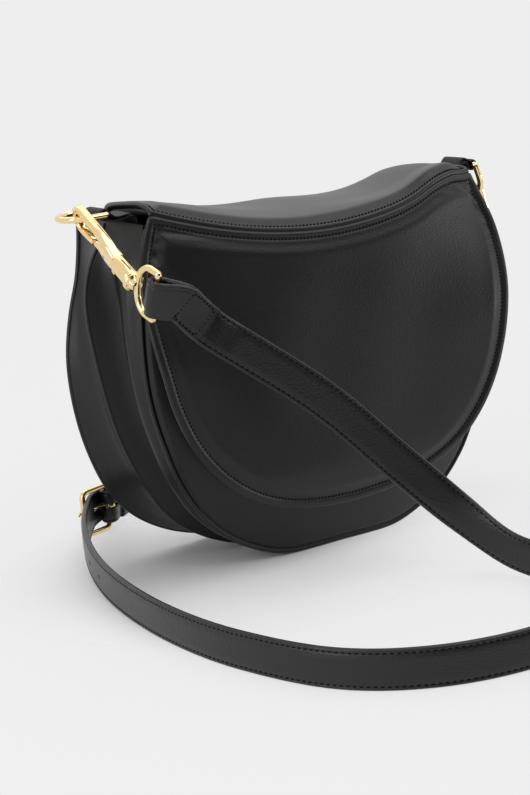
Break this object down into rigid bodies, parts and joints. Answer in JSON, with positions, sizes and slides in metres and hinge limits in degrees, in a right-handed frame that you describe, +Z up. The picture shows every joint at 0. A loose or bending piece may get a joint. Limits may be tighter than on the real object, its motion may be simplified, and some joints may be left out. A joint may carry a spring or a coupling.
{
  "type": "crossbody bag",
  "caption": "Half-moon crossbody bag with a saddle-shaped flap, two gusseted compartments and an adjustable strap on swivel hooks.",
  "frame": {"origin": "middle of the divider's bottom edge, on the surface that the bag stands on", "axes": "+X to the bag's left-to-right width seen from the front, +Y from the front to the back, +Z up"},
  "size_m": [0.2709, 0.3766, 0.1875],
  "materials": {
    "black_leather": "smooth, slightly glossy black faux leather",
    "black_lining": "matte woven polyester",
    "gold_metal": "polished pale gold plating on zinc",
    "nickel_steel": "nickel plated",
    "ferrite": "dark grey sintered magnet"
  },
  "bodies": {
    "bag": {"back_panel": "black_leather", "back_panel_lining": "black_lining", "front_panel": "black_leather", "front_panel_lining": "black_lining", "center_divider": "black_leather", "rear_gusset": "black_leather", "rear_lining": "black_lining", "front_gusset": "black_leather", "front_lining": "black_lining", "ring_tab_left": "black_leather", "ring_tab_right": "black_leather", "snap_socket": "gold_metal", "snap_magnet": "ferrite", "snap_socket_washer": "nickel_steel", "strap_long": "black_leather", "strap_short": "black_leather", "keeper_fixed": "black_leather"},
    "flap": {"flap_front": "black_leather", "flap_front_lining": "black_lining", "flap_top": "black_leather", "flap_top_lining": "black_lining", "snap_stud": "gold_metal", "snap_stud_washer": "nickel_steel"},
    "ring_left": {"d_ring_left": "gold_metal"},
    "hook_left": {"hook_left_body": "gold_metal", "hook_left_pin": "nickel_steel", "hook_left_spring": "nickel_steel"},
    "gate_left": {"hook_left_gate": "gold_metal"},
    "swivel_left": {"hook_left_swivel": "gold_metal"},
    "ring_right": {"d_ring_right": "gold_metal"},
    "hook_right": {"hook_right_body": "gold_metal", "hook_right_pin": "nickel_steel", "hook_right_spring": "nickel_steel"},
    "gate_right": {"hook_right_gate": "gold_metal"},
    "swivel_right": {"hook_right_swivel": "gold_metal"},
    "buckle": {"buckle_frame": "gold_metal"},
    "prong": {"buckle_prong": "gold_metal"},
    "slider": {"keeper_sliding": "black_leather"}
  },
  "joints": [
    {"name": "flap_hinge", "type": "hinge", "parent": "bag", "child": "flap", "pos_m": [0, 0.0305, 0.1645], "axis": [-1, 0, 0], "range_deg": [0, 130], "deforming": ["strap_long"]},
    {"name": "ring_left_swing", "type": "hinge", "parent": "bag", "child": "ring_left", "pos_m": [-0.107, -0.008, 0.18082], "axis": [0, 1, 0], "range_deg": [-6, 66], "deforming": ["strap_long"]},
    {"name": "hook_left_on_ring", "type": "hinge", "parent": "ring_left", "child": "hook_left", "pos_m": [-0.119, -0.01839, 0.18061], "axis": [-0.9667, 0.1032, -0.2342], "range_deg": [-8, 50], "deforming": ["strap_long"]},
    {"name": "gate_left_press", "type": "hinge", "parent": "hook_left", "child": "gate_left", "pos_m": [-0.11768, -0.03975, 0.16574], "axis": [0.9667, -0.1032, 0.2342], "range_deg": [0, 25], "stiffness_Nm_per_rad": 0.02, "springref_deg": -14.9},
    {"name": "swivel_left_turn", "type": "hinge", "parent": "hook_left", "child": "swivel_left", "pos_m": [-0.11727, -0.05833, 0.15589], "axis": [-0.034, 0.8552, 0.5171], "continuous": true, "deforming": ["strap_long"]},
    {"name": "ring_right_swing", "type": "hinge", "parent": "bag", "child": "ring_right", "pos_m": [0.107, -0.008, 0.17511], "axis": [0, -1, 0], "range_deg": [0, 80], "deforming": ["strap_short"]},
    {"name": "hook_right_on_ring", "type": "hinge", "parent": "ring_right", "child": "hook_right", "pos_m": [0.11256, -0.008, 0.158], "axis": [0.014, -0.9987, -0.048], "range_deg": [0, 50], "deforming": ["strap_short"]},
    {"name": "gate_right_press", "type": "hinge", "parent": "hook_right", "child": "gate_right", "pos_m": [0.11818, -0.0067, 0.13258], "axis": [-0.014, 0.9987, 0.048], "range_deg": [0, 25], "stiffness_Nm_per_rad": 0.02, "springref_deg": -14.9},
    {"name": "swivel_right_turn", "type": "hinge", "parent": "hook_right", "child": "swivel_right", "pos_m": [0.12524, -0.00565, 0.1128], "axis": [-0.2799, -0.05, 0.9587], "range_deg": [-30, 30], "deforming": ["strap_short"]},
    {"name": "buckle_swing", "type": "hinge", "parent": "bag", "child": "buckle", "pos_m": [-0.07401, 0.08145, 0.01395], "axis": [0, 0, -1], "range_deg": [0, 30], "deforming": ["strap_long", "strap_short"]},
    {"name": "prong_lift", "type": "hinge", "parent": "buckle", "child": "prong", "pos_m": [-0.07401, 0.08145, 0.01395], "axis": [0, 0, -1], "range_deg": [0, 70], "deforming": ["strap_long", "strap_short"]},
    {"name": "keeper_slide", "type": "slide", "parent": "bag", "child": "slider", "axis": [0.7771, 0.6293, 0], "range_m": [-0.01, 0.008]}
  ]
}
